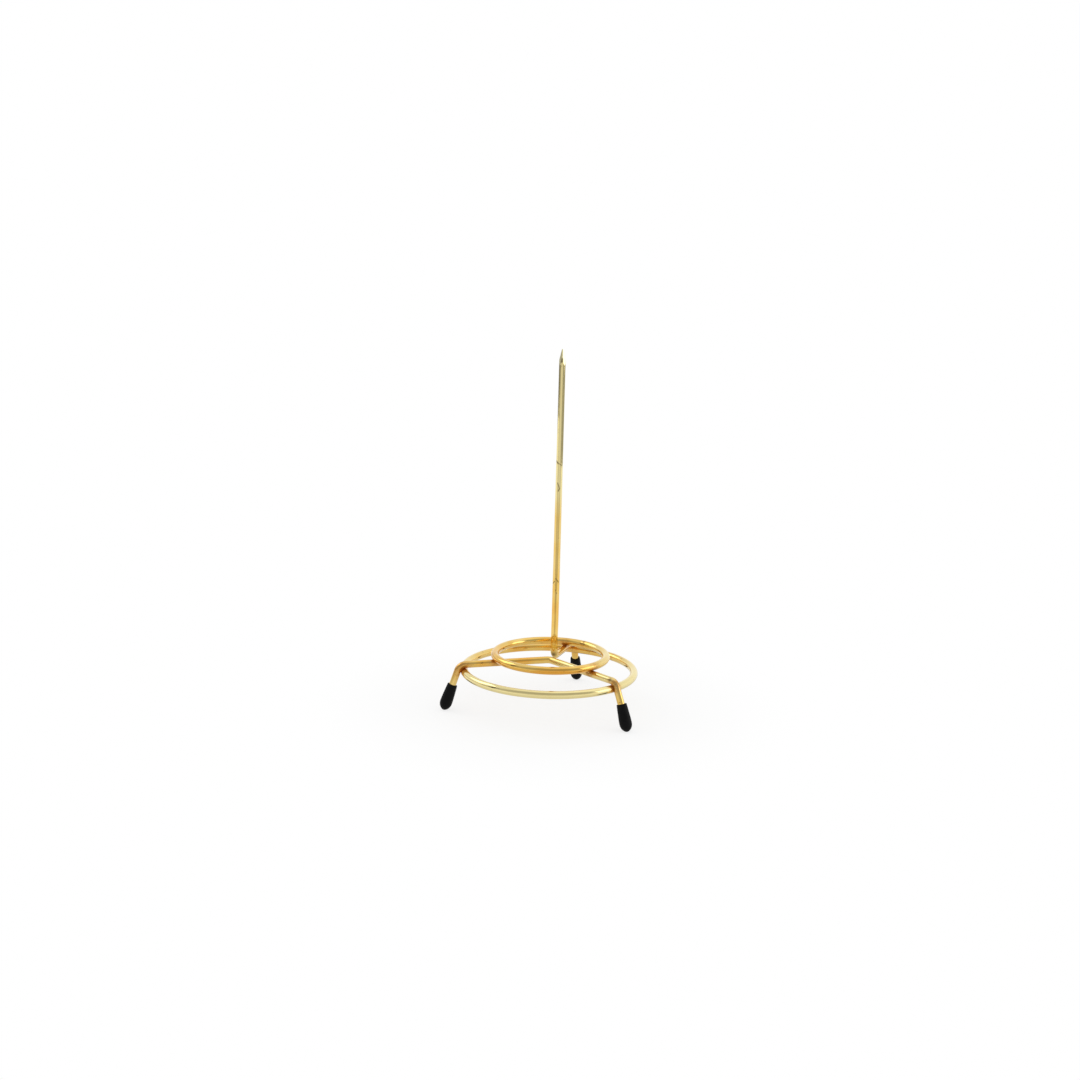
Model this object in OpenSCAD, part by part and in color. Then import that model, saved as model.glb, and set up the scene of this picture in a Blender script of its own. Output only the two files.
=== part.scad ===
// Bill spike: a welded wire stand. One bent wire makes the spike, the crossbar and the rear leg;
// a second makes the two front legs. A large ring nests in the three leg bends from below, a small
// ring lies on top of the arms, and each leg ends in a slip-on vinyl foot.
// Units mm, +Z up, the rear leg towards +Y, mirror plane x = 0, feet on z = 0.

/* [Overall] */
// height of the point above the table
overall_h = 150.5; // [120:0.5:200]

/* [Rings] */
// wire diameter of both rings
ring_wire_d = 3.25; // [2.5:0.05:4]
// outside diameter of the large lower ring
base_ring_od = 74.7; // [66:0.1:90]
// outside diameter of the small upper ring
top_ring_od = 49.9; // [40:0.1:58]
// height of the lower ring's wire centre above the table
base_ring_h = 16.25; // [14:0.05:24]

/* [Leg and spike wire] */
// wire diameter of the spike and of the legs
leg_wire_d = 2.95; // [2.4:0.05:3.6]
// how much wider the inside of a bend is than the ring wire lying in it, on the radius
bend_ease = 0.75; // [0.7:0.05:2]
// how much thinner the wire is drawn in a bend, on the radius
bend_thin = 0.03; // [0.02:0.01:0.06]
// how far out into the leg bend the lower ring sits, as a share of the room there
ring_nest = 0.7; // [0.5:0.05:0.9]
// depth that each crossing is pressed together by the weld
weld_set_down = 0.2; // [0.05:0.01:0.3]

/* [Legs] */
// angle of a front arm from straight forwards
arm_angle = 63; // [56:0.2:68]
// fall of the arms and the crossbar outwards, from level
arm_slope = 2; // [0:0.1:4]
// lean of the legs outwards from vertical
leg_splay = 18.8; // [10:0.1:28]
// distance of the front wire's corner behind the ring centre
vee_back = 0.4; // [0:0.1:4]
// radius of that corner, along the middle of the wire
vee_bend_r = 2.6; // [2:0.1:5]
// distance of the spike behind the ring centre
spike_back = 7; // [6.5:0.1:10]

/* [Point] */
// length of the four ground flats
point_len = 6.4; // [4:0.1:10]
// width left at the very tip
tip_w = 0.45; // [0.2:0.05:0.8]
// direction of one of the point's edges, from straight forwards
point_turn = 17; // [0:1:45]

/* [Feet] */
// length of a foot along its leg
foot_len = 11.5; // [9:0.1:14]
// outside diameter at the open mouth
foot_mouth_d = 3.9; // [3.7:0.05:5]
// outside diameter of the round end
foot_bulb_d = 4.95; // [4.7:0.05:6.5]
// vinyl left under the end of the wire
foot_floor_t = 1.6; // [1.2:0.1:2.2]
// depth of the flat worn on the round end where it stands on the table
foot_flat = 0.15; // [0.1:0.01:0.3]
// gap all round between the wire and the bore of the foot
foot_clearance = 0; // [0:0.01:0.1]

/* [Hidden] */
$fn = 64;
ring_r = ring_wire_d / 2;
leg_r = leg_wire_d / 2;
base_ring_r = base_ring_od / 2 - ring_r;
top_ring_r = top_ring_od / 2 - ring_r;

// the bends: wire and centreline radius, and where the lower ring lies inside them
bend_wire_r = leg_r - bend_thin;
bend_r = ring_r + bend_wire_r + bend_ease;
bend_lap = 2;
nest_room = bend_ease + weld_set_down;
nest_in = nest_room * ring_nest;
bend_mid_h = base_ring_h - sqrt(nest_room * nest_room - nest_in * nest_in);

// where an arm ends and its bend starts: how far inside the lower ring, and how high
arm_end_in = nest_in - bend_r * sin(arm_slope);
arm_end_h = bend_mid_h + bend_r * cos(arm_slope);

// height of an arm's wire centre at a level distance inwards from that end
function arm_h(inwards) = arm_end_h + inwards * tan(arm_slope);
top_ring_h = arm_h(base_ring_r - arm_end_in - top_ring_r)
    + (leg_r + ring_r - weld_set_down) / cos(arm_slope);

// the front wire: its corner, which lies in a plane that falls forwards, and the run out to the bend
vee_side = vee_back * sin(arm_angle);
arm_reach = vee_back * cos(arm_angle) + sqrt(base_ring_r * base_ring_r - vee_side * vee_side) - arm_end_in;
vee_h = arm_h(arm_reach);
vee_half_turn = acos(sin(arm_angle) * cos(arm_slope));
vee_roll = atan(tan(arm_angle) * sin(arm_slope));
arm_start = vee_bend_r * tan(vee_half_turn);
arm_run = arm_reach / cos(arm_slope) - arm_start;

// the spike wire: the bend at the foot of the upright, and the crossbar
spike_turn = 90 - arm_slope;
spike_tangent = bend_r * tan(spike_turn / 2);
bar_reach = base_ring_r - arm_end_in - spike_back;
bar_run = bar_reach / cos(arm_slope) - spike_tangent;
spike_start_h = arm_h(bar_reach) + spike_tangent;
spike_run = overall_h - spike_start_h;

// the legs: turn of the bend, and the run down to the foot
leg_turn = 90 - leg_splay - arm_slope;
foot_bulb_r = foot_bulb_d / 2;
foot_mid_h = foot_bulb_r - foot_flat;
leg_start_h = bend_mid_h + bend_r * sin(leg_splay);
leg_to_mid = (leg_start_h - foot_mid_h) / cos(leg_splay);
leg_run = leg_to_mid + foot_bulb_r - foot_floor_t;
foot_mouth_at = leg_to_mid + foot_bulb_r - foot_len;
foot_bore_r = leg_r + foot_clearance;

// the origin is put under the middle of the outline
rear_reach = base_ring_r - nest_in + bend_r * cos(leg_splay) + leg_to_mid * sin(leg_splay) + foot_bulb_r;
shift_y = (base_ring_od / 2 - rear_reach) / 2;

brass = [0.85, 0.68, 0.33];
black = [0.08, 0.08, 0.09];

// A wire is drawn along its own +Z and bends towards its own +X; the children carry on from its end.
module past_run(run) {
    translate([0, 0, run]) children();
}

module past_bend(turn) {
    translate([bend_r, 0, 0]) rotate([0, turn, 0]) translate([-bend_r, 0, 0]) children();
}

module run_of_wire(run) {
    cylinder(h = run, r = leg_r);
}

// the drawn wire of a bend runs a little way into the full wire at both ends
module bend_of_wire(turn, centre_r = bend_r) {
    translate([centre_r, 0, 0]) rotate([90, 0, 180]) rotate([0, 0, -bend_lap])
        rotate_extrude(angle = turn + 2 * bend_lap) translate([centre_r, 0]) circle(r = bend_wire_r);
}

module ring(centre_r, height) {
    translate([0, shift_y, height]) rotate_extrude() translate([centre_r, 0]) circle(r = ring_r);
}

// leg bend, then the straight leg
module leg() {
    bend_of_wire(leg_turn);
    past_bend(leg_turn) run_of_wire(leg_run);
}

// the inner end of the right arm, heading out along it
module at_arm() {
    translate([0, vee_back + shift_y, vee_h]) rotate([0, arm_slope, arm_angle - 90])
        rotate([-90, 0, 0]) rotate([0, 90, 0]) past_run(arm_start) children();
}

// the start of the right front leg's bend
module at_front_leg() {
    at_arm() past_run(arm_run) rotate([0, 0, 90]) children();
}

// the start of the bend below the spike, heading down
module at_spike_bend() {
    translate([0, spike_back + shift_y, spike_start_h]) rotate([180, 0, 90]) children();
}

// the start of the rear leg's bend
module at_rear_leg() {
    at_spike_bend() past_bend(spike_turn) past_run(bar_run) rotate([0, 0, 180]) children();
}

module arm_and_leg() {
    at_arm() run_of_wire(arm_run);
    at_front_leg() leg();
}

// everything outside one flat of the point
module point_flat() {
    lean = atan((leg_r - tip_w / 2) / point_len);
    translate([tip_w / 2, -leg_wire_d, overall_h]) rotate([0, -lean, 0])
        translate([0, 0, -2 * point_len]) cube([leg_wire_d, 2 * leg_wire_d, 4 * point_len]);
}

module spike_wire() {
    color(brass) difference() {
        union() {
            translate([0, spike_back + shift_y, spike_start_h]) run_of_wire(spike_run);
            at_spike_bend() {
                bend_of_wire(spike_turn);
                past_bend(spike_turn) run_of_wire(bar_run);
            }
            at_rear_leg() leg();
        }
        for (k = [0:3])
            translate([0, spike_back + shift_y, 0]) rotate([0, 0, point_turn - 45 + 90 * k]) point_flat();
        ring(base_ring_r, base_ring_h);
        ring(top_ring_r, top_ring_h);
    }
}

module front_leg_wire() {
    color(brass) difference() {
        union() {
            arm_and_leg();
            mirror([1, 0, 0]) arm_and_leg();
            at_arm() rotate([0, 0, vee_roll]) rotate([180, 0, 0]) bend_of_wire(2 * vee_half_turn, vee_bend_r);
        }
        ring(base_ring_r, base_ring_h);
        ring(top_ring_r, top_ring_h);
    }
}

module base_ring() {
    color(brass) ring(base_ring_r, base_ring_h);
}

module top_ring() {
    color(brass) ring(top_ring_r, top_ring_h);
}

// a foot along the straight leg, from its mouth to its round end
module foot_body() {
    taper = (foot_bulb_r - foot_mouth_d / 2) / (foot_len - foot_bulb_r);
    cone_len = foot_len - foot_bulb_r * (1 + taper);
    translate([0, 0, foot_mouth_at]) difference() {
        union() {
            cylinder(h = cone_len, r1 = foot_mouth_d / 2, r2 = foot_mouth_d / 2 + cone_len * taper);
            translate([0, 0, foot_len - foot_bulb_r]) sphere(r = foot_bulb_r);
        }
        translate([0, 0, -foot_len]) cylinder(h = 2 * foot_len - foot_floor_t, r = foot_bore_r);
    }
}

module below_table() {
    translate([-base_ring_od, -base_ring_od, -overall_h]) cube([2 * base_ring_od, 2 * base_ring_od, overall_h]);
}

module foot_right() {
    color(black) difference() {
        at_front_leg() past_bend(leg_turn) foot_body();
        below_table();
    }
}

module foot_left() {
    color(black) difference() {
        mirror([1, 0, 0]) at_front_leg() past_bend(leg_turn) foot_body();
        below_table();
    }
}

module foot_rear() {
    color(black) difference() {
        at_rear_leg() past_bend(leg_turn) foot_body();
        below_table();
    }
}

spike_wire();
front_leg_wire();
base_ring();
top_ring();
foot_left();
foot_right();
foot_rear();
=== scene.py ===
"""Bill spike: a pointed upright on a welded wire stand with two rings and three vinyl feet.

Every shape is a surface on a grid of two parameters, one along the piece and one round it. Sizes of the
part are in millimetres, and are turned to metres when a mesh is made. The table, the lights and the
textures are in metres, apart from the map along a wire, which is in millimetres.
"""

import math

import bpy
import numpy as np
from mathutils import Matrix, Vector


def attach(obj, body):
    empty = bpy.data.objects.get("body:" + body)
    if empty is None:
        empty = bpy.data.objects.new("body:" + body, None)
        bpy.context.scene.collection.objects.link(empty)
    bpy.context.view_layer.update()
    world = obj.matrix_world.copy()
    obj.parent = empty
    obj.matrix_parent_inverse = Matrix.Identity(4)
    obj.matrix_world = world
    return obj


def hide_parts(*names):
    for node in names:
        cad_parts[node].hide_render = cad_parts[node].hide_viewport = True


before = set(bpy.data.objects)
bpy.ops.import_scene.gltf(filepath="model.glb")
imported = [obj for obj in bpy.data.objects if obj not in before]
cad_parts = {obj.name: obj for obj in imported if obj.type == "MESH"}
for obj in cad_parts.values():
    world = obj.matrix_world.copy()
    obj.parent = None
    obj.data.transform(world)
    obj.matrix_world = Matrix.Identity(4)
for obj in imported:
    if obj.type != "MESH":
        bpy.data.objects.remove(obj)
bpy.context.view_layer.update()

MM = 0.001
UP = np.array([0.0, 0.0, 1.0])

# sizes of the stand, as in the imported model
OVERALL_H = 150.5
RING_R = 1.625
LEG_R = 1.475
BASE_RING_R = 35.725
TOP_RING_R = 23.325
BASE_RING_H = 16.25
BEND_EASE = 0.75
BEND_THIN = 0.03
RING_NEST = 0.7
WELD_SET_DOWN = 0.2
ARM_ANGLE = math.radians(63.0)
ARM_SLOPE = math.radians(2.0)
LEG_SPLAY = math.radians(18.8)
VEE_BACK = 0.4
VEE_BEND_R = 2.6
SPIKE_BACK = 7.0
POINT_LEN = 6.4
TIP_W = 0.45
POINT_TURN = math.radians(17.0)
FOOT_LEN = 11.5
FOOT_MOUTH_R = 1.95
FOOT_BULB_R = 2.475
FOOT_FLOOR_T = 1.6
FOOT_FLAT = 0.15

# the right leg's bend as the photo shows it: set in along its arm, and tighter. The leg then leans out
# more, and eases back to its true line this far inside the foot
KNEE_IN = 1.0
KNEE_BEND_R = 3.2
KNEE_EASE_R = 25.0
KNEE_IN_FOOT = 3.0

# the lean of the upright just above its bend, backwards as it rises, and where it eases to straight up
FOOT_LEAN = math.radians(2.0)
LEAN_TOP_H = 36.0
LEAN_EASE_R = 150.0

# how far off the middle the small ring is welded on
TOP_RING_RIGHT = 0.43
TOP_RING_BACK = 0.13

# the upright is drawn finer towards its point: full size up to one height, and this share of it at the next
DRAWN_FROM_H = 55.0
DRAWN_TO_H = 130.0
DRAWN_SHARE = 0.905

# depth of a nick, and how much has to be off the wire for the plate to count as all ground away
NICK_DEPTH = 0.03
GROUND_OFF = 0.04

# the swelling at a ring's butt weld, half its length, the same for the tint there, and where round each
# ring it is
SEAM_SWELL = 0.04
SEAM_HALF = 0.7
SEAM_TINT = 0.5
SEAM_TINT_HALF = 1.2
BASE_SEAM_TURN = math.radians(55)
TOP_SEAM_TURN = math.radians(68)

# weld collars: the reach out from the contact on an arm, and inside a bend, where it is longer along the
# leg; how far they go into the wires, as a share of the gap; and how much they are drawn in at the waist
ARM_WELD_REACH = 1.12
BEND_WELD_REACH = 1.05
BEND_WELD_LONGER = 0.35
WELD_OVERLAP = 0.12
WELD_WAIST = 0.16

# vinyl feet: how much fuller than the solids the mouth and the widest part are, how far along the foot is
# widest, as a share of its length, the height of the lip, the room round the wire, how far the swelling
# runs ahead of a straight line, and the power that rounds the end
FOOT_MOUTH_FULLER = 0.14
FOOT_BULB_FULLER = 0.10
FOOT_WIDEST = 0.70
FOOT_LIP = 0.16
FOOT_BORE_ROOM = 0.012
FOOT_SWELL = 0.25
FOOT_END_POWER = 0.58

# spacing of rows along the wires and round the bends, and how many rows and columns the pieces have
SPIKE_STEP = 0.25
FRONT_WIRE_STEP = 0.45
BEND_STEP = math.radians(2.5)
FEWEST_BEND_ROWS = 12
SPIKE_COLUMNS = 72
WIRE_COLUMNS = 56
RING_ROWS = 420
WELD_ROWS = 15
WELD_COLUMNS = 48
FOOT_COLUMNS = 64
FOOT_BORE_ROWS = 10
FOOT_LIP_ROWS = 14
FOOT_BODY_ROWS = 40
FOOT_END_ROWS = 30

# radii left at the middle of a foot's bore and at its end, where the caps close the grid
FOOT_FLOOR_R = 0.02
FOOT_END_R = 0.004

# the point has close rows of its own, to a little below its flats, and the other rows start below those;
# edges over this many degrees stay sharp
POINT_ROWS = 60
POINT_ROWS_PAST = 0.4
WIRE_ROWS_PAST = 0.5
POINT_SHARP = 28

# how far the brown of a weld spreads, a weld discolouring with painted shade in the crevice, and how far on
# the left leg, which lies left of this place
WELD_SPREAD = 3.8
LEFT_WELD_SPREAD = 5.0
LEFT_LEG_X = -25.0

# painted warmth, a painted reflection of the gold parts in one another laid into the plate's colour: up the
# upright; along the front arms, from left to right; on the front legs, which turn to the arms over a rise
# above this height
UPRIGHT_WARM_H = (30, 50, 63, 76, 95)
UPRIGHT_WARM = (0.64, 0.62, 0.46, 0.50, 0.0)
ARM_WARM_X = (-5.0, 12.0)
ARM_WARM = (0.70, 0.18)
LEFT_LEG_WARM = 0.40
RIGHT_LEG_WARM = 0.56
LEG_TOP_H = 13.0
LEG_TO_ARM_RISE = 5.0

# painted warmth of the large ring, a painted reflection of gold in gold with painted shade on its lower
# side: at its sides, what the rear adds, the turn of that from the true rear, and what the inner and the
# lower side add
BASE_WARM = 0.10
BASE_WARM_REAR = 0.60
BASE_WARM_TURN = math.radians(20)
BASE_WARM_INNER = 0.10
BASE_WARM_LOWER = 0.05

# painted warmth of the small ring, a painted reflection of gold in gold with painted shade underneath: all
# round; at the front, what its outer side has and gains lower down, and what its inner side loses; what the
# right side loses; and what the underside and the inner side add
TOP_WARM = 0.58
TOP_FRONT_TURN = math.radians(80)
TOP_FRONT_OUTER = 0.02
TOP_FRONT_LOW = 0.40
TOP_FRONT_INNER = 0.30
TOP_RIGHT_TURN = math.radians(14)
TOP_RIGHT_POWER = 3
TOP_RIGHT_LESS = 0.40
TOP_UNDER = 0.12
TOP_INNER = 0.04

# where those sides lie, by how far a point of the small ring faces up or out: the low side starts below one
# value and is full this much lower, the outer side likewise upwards, and the underside starts below another
TOP_LOW_FROM = 0.8
TOP_LOW_OVER = 1.2
TOP_OUTER_FROM = -0.6
TOP_OUTER_OVER = 0.9
TOP_UNDER_FROM = 0.3

# places worked out from those sizes
BEND_R = RING_R + LEG_R - BEND_THIN + BEND_EASE
NEST_ROOM = BEND_EASE + WELD_SET_DOWN
NEST_IN = NEST_ROOM * RING_NEST
BEND_MID_H = BASE_RING_H - math.sqrt(NEST_ROOM**2 - NEST_IN**2)
ARM_END_IN = NEST_IN - BEND_R * math.sin(ARM_SLOPE)
ARM_END_H = BEND_MID_H + BEND_R * math.cos(ARM_SLOPE)
ARM_FALL = math.tan(ARM_SLOPE)
TOP_RING_H = (ARM_END_H + (BASE_RING_R - ARM_END_IN - TOP_RING_R) * ARM_FALL
              + (LEG_R + RING_R - WELD_SET_DOWN) / math.cos(ARM_SLOPE))
LEG_TURN = math.pi / 2 - LEG_SPLAY - ARM_SLOPE
LEG_TANGENT = BEND_R * math.tan(LEG_TURN / 2)
FOOT_MID_H = FOOT_BULB_R - FOOT_FLAT
LEG_TO_MID = (BEND_MID_H + BEND_R * math.sin(LEG_SPLAY) - FOOT_MID_H) / math.cos(LEG_SPLAY)
LEG_RUN = LEG_TO_MID + FOOT_BULB_R - FOOT_FLOOR_T
CORNER_TO_MOUTH = LEG_TANGENT + LEG_TO_MID + FOOT_BULB_R - FOOT_LEN
REAR_REACH = (BASE_RING_R - NEST_IN + BEND_R * math.cos(LEG_SPLAY)
              + LEG_TO_MID * math.sin(LEG_SPLAY) + FOOT_BULB_R)
MID_Y = (BASE_RING_R + RING_R - REAR_REACH) / 2
BASE_RING_MID = np.array([0.0, MID_Y, BASE_RING_H])
TOP_RING_MID = np.array([TOP_RING_RIGHT, MID_Y + TOP_RING_BACK, TOP_RING_H])

# the corner of the front wire and the corner below the spike, and the level reach from each to its arm's end
VEE_SIDE = VEE_BACK * math.sin(ARM_ANGLE)
ARM_REACH = VEE_BACK * math.cos(ARM_ANGLE) + math.sqrt(BASE_RING_R**2 - VEE_SIDE**2) - ARM_END_IN
BAR_REACH = BASE_RING_R - ARM_END_IN - SPIKE_BACK
VEE = np.array([0.0, VEE_BACK + MID_Y, ARM_END_H + ARM_REACH * ARM_FALL])
SPIKE_FOOT = np.array([0.0, SPIKE_BACK + MID_Y, ARM_END_H + BAR_REACH * ARM_FALL])

# for each arm: its level way out, the way it runs, the way square to it and upwards, and its end, where the
# leg's bend starts
OUT = {
    "right": np.array([math.sin(ARM_ANGLE), -math.cos(ARM_ANGLE), 0.0]),
    "left": np.array([-math.sin(ARM_ANGLE), -math.cos(ARM_ANGLE), 0.0]),
    "rear": np.array([0.0, 1.0, 0.0]),
}
ALONG = {side: out * math.cos(ARM_SLOPE) - UP * math.sin(ARM_SLOPE) for side, out in OUT.items()}
SQUARE = {side: out * math.sin(ARM_SLOPE) + UP * math.cos(ARM_SLOPE) for side, out in OUT.items()}
BEND_AT = {
    "right": VEE + (OUT["right"] - UP * ARM_FALL) * ARM_REACH,
    "left": VEE + (OUT["left"] - UP * ARM_FALL) * ARM_REACH,
    "rear": SPIKE_FOOT + (OUT["rear"] - UP * ARM_FALL) * BAR_REACH,
}

# nicks in the spike's plate: height above the table and facing round the wire, in degrees to the right of
# straight forwards, at the start and the end of each, and half its width
NICKS = (
    ((146.4, 12), (145.7, 8), 0.62),
    ((104.4, -46), (103.5, -10), 0.28),
    ((103.4, -6), (102.9, 50), 0.13),
    ((95.2, -8), (92.9, 26), 0.20),
    ((92.8, 25), (91.8, 8), 0.22),
    ((54.6, 8), (53.0, 57), 0.21),
    ((53.4, -11), (52.3, -42), 0.20),
    ((49.8, 10), (49.3, 12), 0.13),
    ((48.7, 27), (48.2, 29), 0.12),
    ((118.0, 150), (112.5, 172), 0.14),
    ((74.0, -120), (71.5, -96), 0.18),
    ((41.0, 220), (38.0, 205), 0.16),
)

# painted shade low on two bends, as dark spots: the middle of each on the wire's surface, and half its width
BEND_SHADE_SPOTS = (
    (SPIKE_FOOT + np.array([0.13, -1.30, 1.05]), 1.30),
    (BEND_AT["right"] + np.array([-0.85, -1.01, 0.74]), 0.68),
)

# colours of the plate: clean; then the painted reflection of gold in gold, its middle shade, which comes at
# this much painted warmth, and its deepest; the ground point; a weld's edge and its core, a weld
# discolouring with painted shade that is darkest at the core; and scuffs, nicks and the painted shade spots
# at two bends
PALE_GOLD = (0.89, 0.76, 0.37, 1)
WARM_GOLD = (0.855, 0.565, 0.15, 1)
WARM_GOLD_AT = 0.6
DEEP_GOLD = (0.84, 0.425, 0.074, 1)
GROUND_METAL = (0.76, 0.74, 0.50, 1)
WELD_EDGE = (0.73, 0.40, 0.115, 1)
WELD_CORE = (0.34, 0.16, 0.043, 1)
SCUFF_AND_SHADE_BROWN = (0.16, 0.11, 0.045, 1)

# how dark a nick is, and a painted shade spot at a bend, which shares its mask; and how much duller the
# plate is at a weld and at a scuff
NICK_TINT = 0.95
WELD_DULLER = 0.16
SCUFF_DULLER = 0.25

# colours of the vinyl: its two blacks, and the dust on it
VINYL_BLACK = (0.0026, 0.0026, 0.0027, 1)
VINYL_WORN = (0.0046, 0.0046, 0.0047, 1)
VINYL_DUST = (0.018, 0.0175, 0.017, 1)

WHITE = (1, 1, 1, 1)
TABLE_PALE = (0.95, 0.95, 0.95, 1)

# ranges used again and again: a number that rises or falls, and the middle part of a noise
RISE = (0.0, 1.0)
FALL = (1.0, 0.0)
NOISE_SPAN = (0.30, 0.70)

# the photograph's view, fitted to its outline, in millimetres. A yaw of a quarter turn would look straight
# backwards, and the focal length is in pixels of the photo. What is seen is bounded in metres
CAMERA_YAW = math.radians(73.1329)
CAMERA_TILT = math.radians(11.8285)
CAMERA_ROLL = math.radians(1.5289)
CAMERA_AWAY = 689.17
CAMERA_AIM = np.array([-4.9933, -1.5139 + MID_Y, 72.0268])
FOCAL_PIXELS = 1663.79
PHOTO_PIXELS = 1080.0
SENSOR_W = 36.0
NEAREST_SEEN = 0.01
FURTHEST_SEEN = 50.0

# the table top: its radius, how far its middle is to the left of the stand, and the points of its rim
TABLE_R = 0.79
TABLE_LEFT = 0.17
TABLE_POINTS = 96

# over these distances from the stand the table turns to white, and the painted shade of the stand on it,
# seen only in the metal, ends
TABLE_WHITE_OUT = (0.03, 0.11)
TABLE_WHITE = (0.74, 1.0)
NEAR_DIM_OUT = (0.04, 0.12)
NEAR_DIM = (0.26, 0.0)

# the dim part of the table ahead of the stand, in the metal: how much its edges draw back to the sides, and
# the distances ahead over which it darkens and lightens, each with the change
AHEAD_DRAWN_BACK = 0.42
AHEAD_CHANGES = (((0.085, 0.165), 0.44), ((0.21, 0.28), -0.12), ((0.38, 0.50), -0.10))

# strength of the backdrop where it lights things and isn't seen itself
FILL_STRENGTH = 0.80

# the room as the metal shows it. A direction has a level, which is how far it goes up, a front, towards the
# camera, and a side, to the right. Each part of the room has the ranges over which it comes, or comes and
# goes, and how much it dims the white from one end of its last range to the other
ABOVE_LEVEL = (0.25, 0.60)
ABOVE_SIDE = (-0.25, 0.25)
ABOVE_DIM = (0.18, 0.08)
BEHIND_FRONT = (-0.20, 0.45)
BEHIND_LEVEL = (-0.05, 0.34)
BEHIND_DIM = (0.0, 0.52)
LOW_LEVEL = ((0.0, 0.05), (0.10, 0.28))
LOW_SIDE = (-0.75, -0.25)
LOW_DIM = (0.40, 0.0)
SHELF_LEVEL = ((0.10, 0.16), (0.27, 0.35))
SHELF_FRONT = ((-0.18, -0.10), (0.06, 0.16))
SHELF_DIM = (0.60, 0.0)
POST_LEVEL = ((0.10, 0.20), (0.55, 0.65))
POST_FRONT = ((0.04, 0.13), (0.24, 0.33))
POST_DIM = (0.95, 0.0)
LEFT_EDGE = (-0.6, -0.5)
UNDER_LEVEL = (-0.02, 0.01)
RIGHT_HALF = (-0.10, 0.05)
PAST_RIGHT_FRONT = (-0.95, -0.65)
PAST_RIGHT_SIDE = (0.15, 0.75)
PAST_RIGHT_DIM = (0.24, 0.64)
PAST_LEFT_FRONT = (0.30, 0.95)
PAST_LEFT_DIM = (0.76, 0.22)


def leg_line(side):
    """The corner of a leg's bend, the way the leg runs down from it, and the end of its wire."""
    corner = BEND_AT[side] + ALONG[side] * LEG_TANGENT
    down = OUT[side] * math.sin(LEG_SPLAY) - UP * math.cos(LEG_SPLAY)
    return corner, down, corner + down * (LEG_TANGENT + LEG_RUN)


def weld_places():
    """Where the rings touch the wires: three crossings on the arms and three inside the leg bends.

    Each has its contact point, the unit normal from the lower wire to the upper one and the way
    the arm or leg runs there."""
    places = {}
    for side in OUT:
        start = np.array([0.0, MID_Y + (VEE_BACK if side != "rear" else 0.0), TOP_RING_H])
        along = np.dot(TOP_RING_MID - start, OUT[side])
        off = np.linalg.norm(TOP_RING_MID - start)
        ring_mid = start + OUT[side] * (along + math.sqrt(TOP_RING_R**2 - off**2 + along**2))
        spot = ring_mid - SQUARE[side] * (RING_R - WELD_SET_DOWN / 2)
        places["top_" + side] = (spot, SQUARE[side], ALONG[side])
        turn_centre = BEND_AT[side] - SQUARE[side] * BEND_R
        ring_mid = turn_centre + OUT[side] * NEST_IN + UP * (BASE_RING_H - BEND_MID_H)
        normal = (ring_mid - turn_centre) / np.linalg.norm(ring_mid - turn_centre)
        way = np.cross(np.cross(UP, OUT[side]), normal)
        places["base_" + side] = (ring_mid + normal * (RING_R - WELD_SET_DOWN / 2), normal, way)
    return places


WELDS = weld_places()


def full_turn(count):
    """Angles evenly round a turn."""
    return np.linspace(0, 2 * math.pi, count, endpoint=False)


def nearest_turn(angle):
    """The same angle, between half a turn back and half a turn on."""
    return (angle + math.pi) % (2 * math.pi) - math.pi


def bell(distance, half):
    """A bell curve, exp(-(distance / half)^2): 1 in the middle."""
    return np.exp(-((distance / half) ** 2))


def lengths(path):
    """The way along a path up to each of its points."""
    return np.append(0.0, np.cumsum(np.linalg.norm(np.diff(path, axis=0), axis=1)))


def grid_piece(name, rows, closed, caps, length, floats=None, sharp=None):
    """A mesh from an array of rows x columns x 3, where each row goes once round the piece.

    closed joins the last row to the first; caps puts a centre point on each open end. length is
    the way along the piece at each row, for the map called wire: u is that length, v the share of
    a turn. floats are named values at every grid point. Edges over sharp degrees aren't smoothed."""
    row_count, columns = rows.shape[:2]
    row = np.arange(row_count if closed else row_count - 1)
    column = np.arange(columns)
    after = (column + 1) % columns
    this_row = row[:, None] * columns
    next_row = ((row + 1) % row_count)[:, None] * columns
    quads = np.stack([this_row + column, this_row + after, next_row + after, next_row + column], -1)
    faces = quads.reshape(-1, 4).tolist()
    reach = np.append(length, 2 * length[-1] - length[-2])
    u_this, u_next = np.repeat(reach[row], columns), np.repeat(reach[row + 1], columns)
    v_this, v_after = np.tile(column / columns, len(row)), np.tile((column + 1) / columns, len(row))
    u = np.stack([u_this, u_this, u_next, u_next], 1)
    v = np.stack([v_this, v_after, v_after, v_this], 1)
    uv = np.stack([u, v], -1).reshape(-1, 2)
    points = rows.reshape(-1, 3)
    values = {key: value.ravel() for key, value in (floats or {}).items()}
    if caps:
        first, last = len(points), len(points) + 1
        points = np.vstack([points, rows[0].mean(0), rows[-1].mean(0)])
        values = {key: np.append(value, [value[:columns].mean(), value[-columns:].mean()])
                  for key, value in values.items()}
        end_row = (row_count - 1) * columns
        low = np.stack([np.full(columns, first), after, column], 1)
        high = np.stack([np.full(columns, last), end_row + column, end_row + after], 1)
        faces += low.tolist() + high.tolist()
        ends = np.zeros((2 * columns, 3, 2))
        ends[:columns, :, 0], ends[columns:, :, 0] = length[0], length[-1]
        ends[:, :, 1] = np.tile(column / columns, 2)[:, None]
        uv = np.vstack([uv, ends.reshape(-1, 2)])
    mesh = bpy.data.meshes.new(name)
    mesh.from_pydata((points * MM).tolist(), [], faces)
    layer = mesh.uv_layers.new(name="wire")
    layer.data.foreach_set("uv", uv.astype(np.float32).ravel())
    for key, value in values.items():
        mesh.attributes.new(key, "FLOAT", "POINT").data.foreach_set("value", value.astype(np.float32))
    mesh.update()
    mesh.shade_smooth()
    if sharp:
        mesh.set_sharp_from_angle(angle=math.radians(sharp))
    piece = bpy.data.objects.new(name, mesh)
    bpy.context.scene.collection.objects.link(piece)
    return piece


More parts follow.
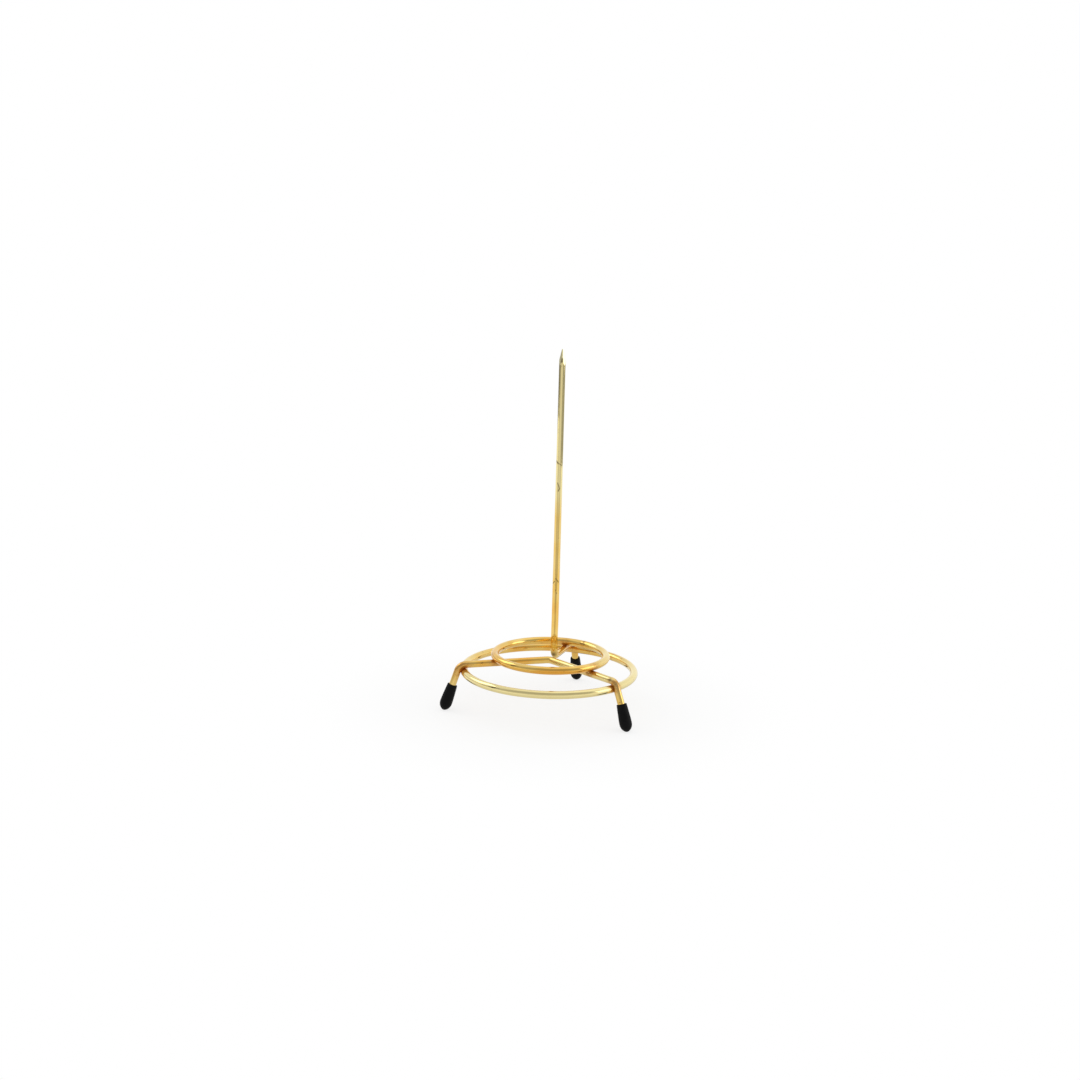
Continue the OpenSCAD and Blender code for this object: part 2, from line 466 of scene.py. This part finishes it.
def bent_path(corners, radii, step):
    """Points along straight runs joined by round bends, and the unit tangent at each.

    A bend turns by the angle between its two runs; its tangent points lie radius x tan(half the
    turn) from the corner, and its points swing from the first run's side to the second's."""
    corners = [np.asarray(corner, float) for corner in corners]
    way = [(b - a) / np.linalg.norm(b - a) for a, b in zip(corners[:-1], corners[1:])]
    points, tangents, start = [], [], corners[0]
    for k, corner in enumerate(corners[1:]):
        last = k == len(corners) - 2
        radius = 0.0 if last else radii[k]
        turn = 0.0 if last else math.acos(np.clip(np.dot(way[k], way[k + 1]), -1, 1))
        end = corner - way[k] * radius * math.tan(turn / 2)
        count = max(2, int(np.linalg.norm(end - start) / step) + 1)
        share = np.linspace(0, 1, count, endpoint=last)[:, None]
        points.append(start + (end - start) * share)
        tangents.append(np.repeat(way[k][None], count, 0))
        if last:
            break
        inward = way[k + 1] - way[k] * np.dot(way[k], way[k + 1])
        inward /= np.linalg.norm(inward)
        bend_rows = max(FEWEST_BEND_ROWS, int(turn / BEND_STEP))
        angle = np.linspace(0, turn, bend_rows, endpoint=False)[:, None]
        points.append(end + way[k] * radius * np.sin(angle) + inward * radius * (1 - np.cos(angle)))
        tangents.append(way[k] * np.cos(angle) + inward * np.sin(angle))
        start = corner + way[k + 1] * radius * math.tan(turn / 2)
    return np.vstack(points), np.vstack(tangents)


def carried_round(path, tangent, side, radius):
    """Carries a circle of the given radius, one value for each row and column, along a path.

    side is a unit vector square to the tangent at each row; the other is their cross product."""
    other = np.cross(tangent, side)
    angle = full_turn(radius.shape[1])[None, :, None]
    return path[:, None, :] + radius[..., None] * (side[:, None, :] * np.cos(angle)
                                                   + other[:, None, :] * np.sin(angle))


def near_weld(points, spread):
    """How near each point is to a welded crossing, for the brown there, a weld discolouring with painted
    shade:
    a bell curve on its distance from the contact.
    """
    spots = np.array([spot for spot, _, _ in WELDS.values()])
    gap = np.linalg.norm(points[..., None, :] - spots, axis=-1).min(-1)
    return bell(gap, spread)


def nicked(height, facing):
    """How deep each point lies in a nick: a bell curve on its distance from the nick's straight line,
    measured on the wire's surface laid flat."""
    depth = np.zeros_like(height)
    for (start_h, start_facing), (end_h, end_facing), half in NICKS:
        along = np.array([end_h - start_h, math.radians(end_facing - start_facing) * LEG_R])
        rise = height - start_h
        across = nearest_turn(facing - math.radians(start_facing)) * LEG_R
        share = np.clip((rise * along[0] + across * along[1]) / np.dot(along, along), 0, 1)
        gap = np.hypot(rise - share * along[0], across - share * along[1])
        depth = np.maximum(depth, bell(gap, half))
    return depth


def bend_shade(points):
    """How deep each point lies in a painted shade spot on a bend: a bell curve on its distance."""
    return np.max([bell(np.linalg.norm(points - spot, axis=-1), half) for spot, half in BEND_SHADE_SPOTS], 0)


def make_spike_wire():
    """The upright, the crossbar and the rear leg: a circle carried along one bent path.

    Near the tip the radius is cut by four flats: at height d below the tip a flat stands
    tip half-width + d x slope from the axis, so the radius is that over the cosine of the angle
    from the nearest flat, or the wire's own radius where that is less. The upright's own radius
    falls evenly between two heights, where it is drawn finer."""
    corner, _, end = leg_line("rear")
    lean_h = LEAN_TOP_H - SPIKE_FOOT[2]
    tip = SPIKE_FOOT + UP * (OVERALL_H - SPIKE_FOOT[2])
    eased = SPIKE_FOOT + UP * lean_h
    foot = SPIKE_FOOT - ALONG["rear"] * lean_h * math.tan(FOOT_LEAN)
    path, tangent = bent_path([tip, eased, foot, corner, end], [LEAN_EASE_R, BEND_R, BEND_R], SPIKE_STEP)
    point_path = tip - UP * np.linspace(0, POINT_LEN + POINT_ROWS_PAST, POINT_ROWS)[:, None]
    keep = path[:, 2] < OVERALL_H - POINT_LEN - WIRE_ROWS_PAST
    path = np.vstack([point_path, path[keep]])
    tangent = np.vstack([np.repeat(-UP[None], POINT_ROWS, 0), tangent[keep]])
    side = np.repeat(np.array([[1.0, 0.0, 0.0]]), len(path), 0)
    height = path[:, 2]
    drawn = LEG_R * np.interp(height, [DRAWN_FROM_H, DRAWN_TO_H], [1.0, DRAWN_SHARE])
    slope = (drawn[0] - TIP_W / 2) / POINT_LEN
    flat = TIP_W / 2 + (OVERALL_H - height) * slope
    # the columns run from +X towards -Y on the upright, so this turns to the right from straight forwards
    facing = math.pi / 2 - full_turn(SPIKE_COLUMNS)
    from_flat = np.abs((facing - POINT_TURN) % (math.pi / 2) - math.pi / 4)
    radius = np.minimum(drawn[:, None], flat[:, None] / np.cos(from_flat)[None, :])
    upright = height > SPIKE_FOOT[2] + BEND_R
    nick = nicked(*np.meshgrid(height, facing, indexing="ij")) * upright[:, None]
    rows = carried_round(path, tangent, side, radius - NICK_DEPTH * nick)
    floats = {
        "weld": near_weld(rows, WELD_SPREAD),
        # the upright's painted reflection of gold in gold, more of it low down
        "painted_warmth": np.repeat(np.interp(height, UPRIGHT_WARM_H, UPRIGHT_WARM)[:, None], SPIKE_COLUMNS, 1),
        # the nicks, with the painted shade spots of the bends in the same mask
        "nick": np.maximum(nick, bend_shade(rows)),
        "ground": np.clip((drawn[:, None] - radius) / GROUND_OFF, 0, 1),
    }
    return grid_piece("spike_wire_drawn", rows, False, True, lengths(path), floats, sharp=POINT_SHARP)


def make_front_leg_wire():
    """The two front legs and their arms: a circle carried from one foot over the corner to the other."""
    left, _, left_end = leg_line("left")
    right, down, right_end = leg_line("right")
    knee = right - ALONG["right"] * KNEE_IN
    eased = right + down * (CORNER_TO_MOUTH + KNEE_IN_FOOT)
    path, tangent = bent_path([left_end, left, VEE, knee, eased, right_end],
                              [BEND_R, VEE_BEND_R, KNEE_BEND_R, KNEE_EASE_R], FRONT_WIRE_STEP)
    side = np.cross(tangent, UP)
    side /= np.linalg.norm(side, axis=1)[:, None]
    rows = carried_round(path, tangent, side, np.full((len(path), WIRE_COLUMNS), LEG_R))
    # painted reflection of gold in gold along the arms and the legs
    on_arm = np.clip((rows[..., 2] - LEG_TOP_H) / LEG_TO_ARM_RISE, 0, 1)
    arm_warm = np.interp(rows[..., 0], ARM_WARM_X, ARM_WARM)
    leg_warm = np.where(rows[..., 0] > 0, RIGHT_LEG_WARM, LEFT_LEG_WARM)
    spread = np.where(rows[..., 0] < LEFT_LEG_X, LEFT_WELD_SPREAD, WELD_SPREAD)
    floats = {
        "weld": near_weld(rows, spread),
        "painted_warmth": leg_warm + on_arm * (arm_warm - leg_warm),
        # the painted shade spots of the bends, in the nick mask
        "nick": bend_shade(rows),
    }
    return grid_piece("front_leg_wire_drawn", rows, False, True, lengths(path), floats)


def make_ring(name, middle, centre_r, seam, painted_warmth):
    """A ring: a circle carried round a circle. At its butt weld the wire swells as a bell curve."""
    turn = full_turn(RING_ROWS)
    path = middle + centre_r * np.stack([np.cos(turn), np.sin(turn), np.zeros_like(turn)], 1)
    tangent = np.stack([-np.sin(turn), np.cos(turn), np.zeros_like(turn)], 1)
    side = np.repeat(UP[None], len(turn), 0)
    from_seam = nearest_turn(turn - seam) * centre_r
    radius = RING_R + SEAM_SWELL * bell(from_seam, SEAM_HALF)
    rows = carried_round(path, tangent, side, np.repeat(radius[:, None], WIRE_COLUMNS, 1))
    seam_heat = SEAM_TINT * bell(from_seam, SEAM_TINT_HALF)
    angle = full_turn(WIRE_COLUMNS)
    floats = {
        "weld": np.maximum(near_weld(rows, WELD_SPREAD), seam_heat[:, None]),
        "painted_warmth": painted_warmth(turn[:, None], np.cos(angle)[None], np.sin(angle)[None]),
    }
    return grid_piece(name, rows, True, False, lengths(path), floats)


def base_ring_painted_warmth(turn, up, out):
    """Painted reflection of gold in gold: little at the front, rising as a sine to the most at the rear, a
    little more on the inner side, and painted shade on the lower side.
    """
    rear = np.clip(BASE_WARM + BASE_WARM_REAR * np.sin(turn - BASE_WARM_TURN), 0, 1)
    return rear * (1.0 - BASE_WARM_INNER * out) + BASE_WARM_LOWER * np.clip(-up, 0, 1)


def top_ring_painted_warmth(turn, up, out):
    """Painted reflection of gold in gold all round, most of all low on the front, with painted shade
    underneath, and less towards the right and on the inner side of the front."""
    front = np.clip(np.cos(turn + TOP_FRONT_TURN), 0, 1)
    right = np.clip(np.cos(turn - TOP_RIGHT_TURN), 0, 1) ** TOP_RIGHT_POWER
    low = np.clip((TOP_LOW_FROM - up) / TOP_LOW_OVER, 0, 1)
    outer = np.clip((out - TOP_OUTER_FROM) / TOP_OUTER_OVER, 0, 1)
    under = TOP_UNDER * np.clip(TOP_UNDER_FROM - up, 0, 1) * (1 - front)
    front_warm = front * ((TOP_FRONT_OUTER + TOP_FRONT_LOW * low) * outer - TOP_FRONT_INNER * (1 - outer))
    return TOP_WARM + front_warm - TOP_RIGHT_LESS * right + under - TOP_INNER * out


def fallen_away(radius, across):
    """How far a wire's surface falls away at a distance across it: r - sqrt(r^2 - x^2)."""
    return radius - np.sqrt(radius * radius - across * across)


def make_weld(place):
    """The fused metal at a crossing: a waisted collar between the two wires.

    Round the contact normal, the collar starts in the lower wire and ends in the upper one at the
    same distance out, and is drawn in between them as half a sine wave. Inside a bend the upper
    wire closes in along its run."""
    spot, normal, way = WELDS[place]
    across = np.cross(normal, way)
    turn = full_turn(WELD_COLUMNS)
    along, over = np.cos(turn), np.sin(turn)
    if place.startswith("base"):
        reach = BEND_WELD_REACH + BEND_WELD_LONGER * along**2
        x, y = reach * along, reach * over
        lower = WELD_SET_DOWN / 2 - fallen_away(RING_R, x)
        upper = -WELD_SET_DOWN / 2 + fallen_away(LEG_R, y) - fallen_away(BEND_R - LEG_R, x)
    else:
        x, y = ARM_WELD_REACH * along, ARM_WELD_REACH * over
        lower = WELD_SET_DOWN / 2 - fallen_away(LEG_R, y)
        upper = -WELD_SET_DOWN / 2 + fallen_away(RING_R, x)
    share = np.linspace(-WELD_OVERLAP, 1 + WELD_OVERLAP, WELD_ROWS)[:, None]
    level = lower + (upper - lower) * share
    waist = 1.0 - WELD_WAIST * np.sin(math.pi * np.clip(share, 0, 1))
    rows = (spot + (x * waist)[..., None] * way + (y * waist)[..., None] * across
            + level[..., None] * normal)
    # the collar has the full weld brown, a weld discolouring with painted shade, over the deepest painted
    # warmth
    floats = {"weld": np.ones(rows.shape[:2]), "painted_warmth": np.ones(rows.shape[:2])}
    return grid_piece("weld_" + place, rows, False, True, np.linspace(0, 1, WELD_ROWS), floats)


def make_foot(side):
    """A dipped vinyl cap: a profile carried once round the leg.

    From the floor of the bore the profile climbs the wire, rolls over a rounded lip at the mouth and
    swells by t x (1 + swell - swell x t^4) to its widest, at share t of the way there. From there to the
    end its radius is the widest x (1 - u^2)^power, at share u of the way; what would go below the table
    is laid flat on it."""
    corner, down, _ = leg_line(side)
    across = np.cross(down, UP)
    across /= np.linalg.norm(across)
    other = np.cross(down, across)
    mouth = corner + down * CORNER_TO_MOUTH
    widest = FOOT_WIDEST * FOOT_LEN
    floor = FOOT_LEN - FOOT_FLOOR_T
    bore_r = LEG_R + FOOT_BORE_ROOM
    mouth_r = FOOT_MOUTH_R + FOOT_MOUTH_FULLER
    full_r = FOOT_BULB_R + FOOT_BULB_FULLER
    bore_at = np.linspace(floor, FOOT_LIP, FOOT_BORE_ROWS)
    roll = np.linspace(0, math.pi, FOOT_LIP_ROWS)[1:]
    lip_r = (bore_r + mouth_r) / 2 - (mouth_r - bore_r) / 2 * np.cos(roll)
    t = np.linspace(0, 1, FOOT_BODY_ROWS)[1:]
    body_r = mouth_r + (full_r - mouth_r) * t * (1 + FOOT_SWELL - FOOT_SWELL * t**4)
    u = np.sin(np.linspace(0, math.pi / 2, FOOT_END_ROWS)[1:])
    end_r = np.maximum(full_r * np.clip(1 - u * u, 0, 1) ** FOOT_END_POWER, FOOT_END_R)
    at = np.concatenate([[floor], bore_at, FOOT_LIP - FOOT_LIP * np.sin(roll),
                         FOOT_LIP + (widest - FOOT_LIP) * t, widest + (FOOT_LEN - widest) * u])
    radius = np.concatenate([[FOOT_FLOOR_R], np.full(FOOT_BORE_ROWS, bore_r), lip_r, body_r, end_r])
    turn = full_turn(FOOT_COLUMNS)[None, :, None]
    rows = (mouth + down * at[:, None, None]
            + radius[:, None, None] * (across * np.cos(turn) + other * np.sin(turn)))
    rows[..., 2] = np.maximum(rows[..., 2], 0.0)
    return grid_piece("foot_" + side + "_dipped", rows, False, True, lengths(np.stack([at, radius], 1)))


def adder(tree):
    """Empties a node tree, and gives a function that adds a node and sets or joins its inputs."""
    tree.nodes.clear()

    def add(kind, inputs=None, **settings):
        node = tree.nodes.new(kind)
        for key, value in settings.items():
            setattr(node, key, value)
        for key, value in (inputs or {}).items():
            if isinstance(value, bpy.types.NodeSocket):
                tree.links.new(value, node.inputs[key])
            else:
                node.inputs[key].default_value = value
        return node

    return add


def new_material(name):
    """A new material, and the function that adds nodes to it."""
    material = bpy.data.materials.new(name)
    material.use_nodes = True
    return material, adder(material.node_tree)


def mixed(add, share, one, two):
    """One colour turning to another by a share."""
    return add("ShaderNodeMix", {0: share, 6: one, 7: two}, data_type="RGBA").outputs[2]


def joined(add, kind, first, *others):
    """Numbers put together one after another, by a sum, a product or the like."""
    for other in others:
        first = add("ShaderNodeMath", {0: first, 1: other}, operation=kind).outputs[0]
    return first


def times(add, *values):
    """The product of some numbers."""
    return joined(add, "MULTIPLY", *values)


def ranged(add, value, span, to):
    """A number eased from one range to another, and held at its ends."""
    inputs = {"Value": value, "From Min": span[0], "From Max": span[1], "To Min": to[0], "To Max": to[1]}
    return add("ShaderNodeMapRange", inputs, interpolation_type="SMOOTHSTEP").outputs["Result"]


def band(add, value, rise, fall):
    """A number that rises to 1 over one range of a value and falls back to 0 over a later one."""
    return times(add, ranged(add, value, rise, RISE), ranged(add, value, fall, FALL))


def noise(add, vector, detail, scale=1.0, roughness=0.5, dimensions="3D"):
    """Noise over a vector."""
    inputs = {"Vector": vector, "Scale": scale, "Detail": detail, "Roughness": roughness}
    return add("ShaderNodeTexNoise", inputs, noise_dimensions=dimensions).outputs["Fac"]


def stretched(add, vector, scale, rotation=(0.0, 0.0, 0.0)):
    """A vector scaled along each axis and then turned."""
    inputs = {"Vector": vector, "Rotation": rotation, "Scale": scale}
    return add("ShaderNodeMapping", inputs).outputs["Vector"]


def bumped(add, height, strength, distance, **under):
    """The surface's normal tipped by a height, on top of an earlier one if Normal is given."""
    inputs = {"Strength": strength, "Distance": distance, "Height": height, **under}
    return add("ShaderNodeBump", inputs).outputs["Normal"]


def part_along(add, vector, way):
    """How far a vector goes in a direction."""
    return add("ShaderNodeVectorMath", {0: vector, 1: tuple(way)}, operation="DOT_PRODUCT").outputs["Value"]


def rays(add):
    """1 for a ray from the camera, or one mirrored or passed on, and 1 for a mirrored ray alone."""
    path = add("ShaderNodeLightPath")
    glossy = path.outputs["Is Glossy Ray"]
    seen = joined(add, "ADD", path.outputs["Is Camera Ray"], glossy, path.outputs["Is Transmission Ray"])
    return joined(add, "MINIMUM", seen, 1.0), glossy


def gold_plate():
    """Bright gold-coloured plate on drawn wire: pale, with a painted reflection of the gold parts in one
    another laid in as a deeper orange, most of it low on the stand; brown at the welds, a weld discolouring
    with painted shade that is darkest at the core; painted shade spots low on two bends; with drawing lines
    along the wire, slow waves in the polish and a few scuffs."""
    material, add = new_material("gold_plate")
    place = add("ShaderNodeTexCoord").outputs["Object"]
    wire = add("ShaderNodeUVMap", uv_map="wire").outputs["UV"]
    weld, painted_warmth, nick, ground = [add("ShaderNodeAttribute", attribute_name=name).outputs["Fac"]
                                for name in ("weld", "painted_warmth", "nick", "ground")]
    blotch = noise(add, place, detail=4.0, scale=160.0)
    weld_mottle = noise(add, place, detail=5.0, scale=900.0, roughness=0.65)
    cloud = noise(add, place, detail=2.0, scale=85.0)
    lines = noise(add, stretched(add, wire, (0.12, 46.0, 1.0)), detail=3.0, dimensions="2D")
    waves = noise(add, stretched(add, wire, (0.11, 2.0, 1.0)), detail=1.0, dimensions="2D")
    scuffs = noise(add, stretched(add, wire, (0.35, 5.0, 1.0)), detail=4.0, roughness=0.6, dimensions="2D")
    marks = noise(add, stretched(add, place, (900.0, 900.0, 9000.0), rotation=(0.0, 0.5, 0.3)), detail=2.0)

    # the plate's tone with its painted reflection of gold in gold, the ground point, the brown of the welds
    # with painted shade at their core, and scuffs, nicks and the painted shade spots at two bends
    tone = times(add, painted_warmth, ranged(add, cloud, NOISE_SPAN, (0.75, 1.25)))
    tone = joined(add, "ADD", tone, ranged(add, blotch, (0.35, 0.65), (-0.05, 0.05)))
    shades = add("ShaderNodeValToRGB", {"Fac": tone})
    shades.color_ramp.elements[0].color = PALE_GOLD
    shades.color_ramp.elements[1].color = DEEP_GOLD
    shades.color_ramp.elements.new(WARM_GOLD_AT).color = WARM_GOLD
    bared = times(add, ground, ranged(add, marks, NOISE_SPAN, (0.35, 0.80)))
    colour = mixed(add, bared, shades.outputs["Color"], GROUND_METAL)
    # the weld brown: a weld discolouring with painted shade, mottled, and darkest at the core where the
    # shade is deepest
    heat_tint_and_shade = times(add, weld, ranged(add, weld_mottle, NOISE_SPAN, (0.60, 1.15)))
    heat_tint_and_shade = ranged(add, heat_tint_and_shade, (0.12, 0.78), RISE)
    core = times(add, ranged(add, weld, (0.45, 0.95), (0.25, 1.0)),
                 ranged(add, blotch, (0.40, 0.60), (0.25, 1.0)))
    colour = mixed(add, heat_tint_and_shade, colour, mixed(add, core, WELD_EDGE, WELD_CORE))
    # scuffs and nicks, with the painted shade spots of the bends that share the nick mask
    scuff_and_bend_shade = ranged(add, scuffs, (0.70, 0.78), (0.0, 0.7))
    scuff_and_bend_shade = joined(add, "MAXIMUM", scuff_and_bend_shade, times(add, nick, NICK_TINT))
    colour = mixed(add, scuff_and_bend_shade, colour, SCUFF_AND_SHADE_BROWN)

    # duller at the welds and the scuffs, with bumps of the drawing, the polish, the grinding and the welds
    rough = joined(add, "ADD", ranged(add, blotch, NOISE_SPAN, (0.06, 0.12)),
                   times(add, heat_tint_and_shade, WELD_DULLER), times(add, scuff_and_bend_shade, SCUFF_DULLER))
    drawn = joined(add, "SUBTRACT", 1.0, ground)
    bump = bumped(add, lines, strength=times(add, drawn, 0.10), distance=0.00005)
    bump = bumped(add, waves, strength=times(add, drawn, 0.35), distance=0.0002, Normal=bump)
    bump = bumped(add, marks, strength=times(add, ground, 0.12), distance=0.00001, Normal=bump)
    bump = bumped(add, weld_mottle, strength=times(add, heat_tint_and_shade, 0.35), distance=0.0001, Normal=bump)
    shader = add("ShaderNodeBsdfPrincipled", {"Base Color": colour, "Metallic": 1.0, "Roughness": rough,
                                              "Normal": bump})
    add("ShaderNodeOutputMaterial", {"Surface": shader.outputs["BSDF"]})
    return material


def black_vinyl():
    """Dip-moulded black vinyl: nearly matt, with a fine pebbled skin, faint wear and a little dust."""
    material, add = new_material("black_vinyl")
    place = add("ShaderNodeTexCoord").outputs["Object"]
    skin = noise(add, place, detail=3.0, scale=2600.0)
    cloud = noise(add, place, detail=4.0, scale=420.0, roughness=0.6)
    colour = mixed(add, ranged(add, cloud, (0.35, 0.7), RISE), VINYL_BLACK, VINYL_WORN)
    colour = mixed(add, ranged(add, skin, (0.70, 0.80), (0.0, 0.35)), colour, VINYL_DUST)
    rough = ranged(add, cloud, NOISE_SPAN, (0.44, 0.58))
    bump = bumped(add, skin, strength=0.18, distance=0.00008)
    shader = add("ShaderNodeBsdfPrincipled", {"Base Color": colour, "Roughness": rough, "Normal": bump,
                                              "Specular IOR Level": 0.10})
    add("ShaderNodeOutputMaterial", {"Surface": shader.outputs["BSDF"]})
    return material


def dress():
    """Makes every piece, gives it its finish and puts it in place of its solid."""
    gold, vinyl = gold_plate(), black_vinyl()
    wires = {
        "spike_wire": make_spike_wire(),
        "front_leg_wire": make_front_leg_wire(),
        "base_ring": make_ring("base_ring_drawn", BASE_RING_MID, BASE_RING_R, BASE_SEAM_TURN,
                               base_ring_painted_warmth),
        "top_ring": make_ring("top_ring_drawn", TOP_RING_MID, TOP_RING_R, TOP_SEAM_TURN, top_ring_painted_warmth),
    }
    for node, piece in wires.items():
        piece.data.materials.append(gold)
        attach(piece, "root")
        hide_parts(node)
    for place in WELDS:
        piece = make_weld(place)
        piece.data.materials.append(gold)
        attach(piece, "root")
    for side in OUT:
        piece = make_foot(side)
        piece.data.materials.append(vinyl)
        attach(piece, "root")
        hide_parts("foot_" + side)


def make_camera():
    """The photograph's view: from the front right, a little above, rolled slightly.

    Gives the level ways to the right in the picture and away from the camera."""
    right = np.array([math.sin(CAMERA_YAW), math.cos(CAMERA_YAW), 0.0])
    depth = np.array([-math.cos(CAMERA_YAW), math.sin(CAMERA_YAW), 0.0])
    forward = depth * math.cos(CAMERA_TILT) - UP * math.sin(CAMERA_TILT)
    up = depth * math.sin(CAMERA_TILT) + UP * math.cos(CAMERA_TILT)
    x = right * math.cos(CAMERA_ROLL) + up * math.sin(CAMERA_ROLL)
    y = up * math.cos(CAMERA_ROLL) - right * math.sin(CAMERA_ROLL)
    spot = (CAMERA_AIM - forward * CAMERA_AWAY) * MM
    data = bpy.data.cameras.new("photo_view")
    data.sensor_width = SENSOR_W
    data.lens = FOCAL_PIXELS / PHOTO_PIXELS * SENSOR_W
    data.clip_start, data.clip_end = NEAREST_SEEN, FURTHEST_SEEN
    camera = bpy.data.objects.new("photo_view", data)
    bpy.context.scene.collection.objects.link(camera)
    camera.matrix_world = Matrix(np.stack([x, y, -forward, spot], 1).tolist() + [[0, 0, 0, 1]])
    bpy.context.scene.camera = camera
    return right, depth


def pale_table(right, depth):
    """A round pale table top that reaches further to the left than to the right. Near the stand it is lit
    and shaded; further out it turns to the backdrop's white. In the metal parts of it show dimmer, and near
    the stand that dimness is painted shade."""
    turn = full_turn(TABLE_POINTS)
    rim = -TABLE_LEFT * right + TABLE_R * np.stack([np.cos(turn), np.sin(turn), np.zeros_like(turn)], 1)
    mesh = bpy.data.meshes.new("table")
    mesh.from_pydata(rim.tolist(), [], [list(range(TABLE_POINTS))])
    table = bpy.data.objects.new("table", mesh)
    bpy.context.scene.collection.objects.link(table)
    material, add = new_material("table_white")
    place = add("ShaderNodeTexCoord").outputs["Object"]
    out = add("ShaderNodeVectorMath", {0: place}, operation="LENGTH").outputs["Value"]
    seen, glossy = rays(add)
    front = part_along(add, place, -depth)
    aside = joined(add, "ABSOLUTE", part_along(add, place, right), 0.0)
    ahead = joined(add, "SUBTRACT", front, times(add, aside, AHEAD_DRAWN_BACK))
    dims = [ranged(add, ahead, span, (0.0, change)) for span, change in AHEAD_CHANGES]
    # dims seen only in the metal; the one near the stand is painted shade
    dim = times(add, joined(add, "ADD", *dims, ranged(add, out, NEAR_DIM_OUT, NEAR_DIM)), glossy)
    lit = add("ShaderNodeBsdfDiffuse", {"Color": TABLE_PALE}).outputs["BSDF"]
    strength = joined(add, "SUBTRACT", 1.0, dim)
    white = add("ShaderNodeEmission", {"Color": WHITE, "Strength": strength}).outputs["Emission"]
    share = times(add, seen, ranged(add, out, TABLE_WHITE_OUT, TABLE_WHITE))
    both = add("ShaderNodeMixShader", {0: share, 1: lit, 2: white})
    add("ShaderNodeOutputMaterial", {"Surface": both.outputs["Shader"]})
    mesh.materials.append(material)


def backdrop(right, depth):
    """A white backdrop. In the metal it shows as a room, which is dimmer in places."""
    world = bpy.data.worlds.new("studio")
    bpy.context.scene.world = world
    world.use_nodes = True
    add = adder(world.node_tree)
    way = add("ShaderNodeTexCoord").outputs["Generated"]
    level = add("ShaderNodeSeparateXYZ", {0: way}).outputs["Z"]
    front = part_along(add, way, -depth)
    side = part_along(add, way, right)
    seen, glossy = rays(add)

    # above the stand, and behind the camera
    above = times(add, ranged(add, level, ABOVE_LEVEL, RISE), ranged(add, side, ABOVE_SIDE, ABOVE_DIM))
    behind = times(add, ranged(add, front, BEHIND_FRONT, RISE), ranged(add, level, BEHIND_LEVEL, BEHIND_DIM))

    # low on the left, a shelf over that, and a dark post beside the shelf
    low = times(add, band(add, level, *LOW_LEVEL), ranged(add, side, LOW_SIDE, LOW_DIM))
    shelf = times(add, band(add, level, *SHELF_LEVEL), band(add, front, *SHELF_FRONT),
                  ranged(add, side, LEFT_EDGE, SHELF_DIM))
    post = times(add, band(add, level, *POST_LEVEL), band(add, front, *POST_FRONT),
                 ranged(add, side, LEFT_EDGE, POST_DIM))

    # past the table's edge, on the right and on the left
    past_right = times(add, ranged(add, front, PAST_RIGHT_FRONT, RISE),
                       ranged(add, side, PAST_RIGHT_SIDE, PAST_RIGHT_DIM))
    past_left = ranged(add, front, PAST_LEFT_FRONT, PAST_LEFT_DIM)
    on_right = ranged(add, side, RIGHT_HALF, RISE)
    on_left = joined(add, "SUBTRACT", 1.0, on_right)
    past = joined(add, "ADD", times(add, past_right, on_right), times(add, past_left, on_left))
    under = times(add, ranged(add, level, UNDER_LEVEL, FALL), past)

    dim = joined(add, "MAXIMUM", above, behind, low, shelf, post, under)
    strength = joined(add, "SUBTRACT", 1.0, times(add, dim, glossy))
    shown = add("ShaderNodeBackground", {"Color": WHITE, "Strength": strength}).outputs["Background"]
    fill = add("ShaderNodeBackground", {"Color": WHITE, "Strength": FILL_STRENGTH}).outputs["Background"]
    both = add("ShaderNodeMixShader", {0: seen, 1: fill, 2: shown})
    add("ShaderNodeOutputWorld", {"Surface": both.outputs["Shader"]})


def soft_light(name, spot, aim_h, size, watts):
    """A square lamp, turned to a height above the middle of the stand."""
    data = bpy.data.lights.new(name, "AREA")
    data.shape, data.size, data.energy = "SQUARE", size, watts
    lamp = bpy.data.objects.new(name, data)
    bpy.context.scene.collection.objects.link(lamp)
    lamp.location = spot
    lamp.rotation_mode = "QUATERNION"
    lamp.rotation_quaternion = (Vector((0, 0, aim_h)) - Vector(spot)).to_track_quat("-Z", "Y")


def soft_lights(right, depth):
    """Three soft lamps: overhead, from the right and from the back left."""

    def spot(back, to_right, height):
        return tuple(depth * back + right * to_right + UP * height)

    soft_light("soft_over", spot(back=0.15, to_right=0.20, height=0.95), aim_h=0.04, size=1.1, watts=0.5)
    soft_light("soft_right", spot(back=-0.15, to_right=0.80, height=0.30), aim_h=0.07, size=0.5, watts=0.9)
    soft_light("soft_left", spot(back=0.40, to_right=-0.75, height=0.72), aim_h=0.04, size=0.52, watts=1.2)


dress()
right, depth = make_camera()
backdrop(right, depth)
soft_lights(right, depth)
pale_table(right, depth)
bpy.context.scene.view_settings.view_transform = "Standard"
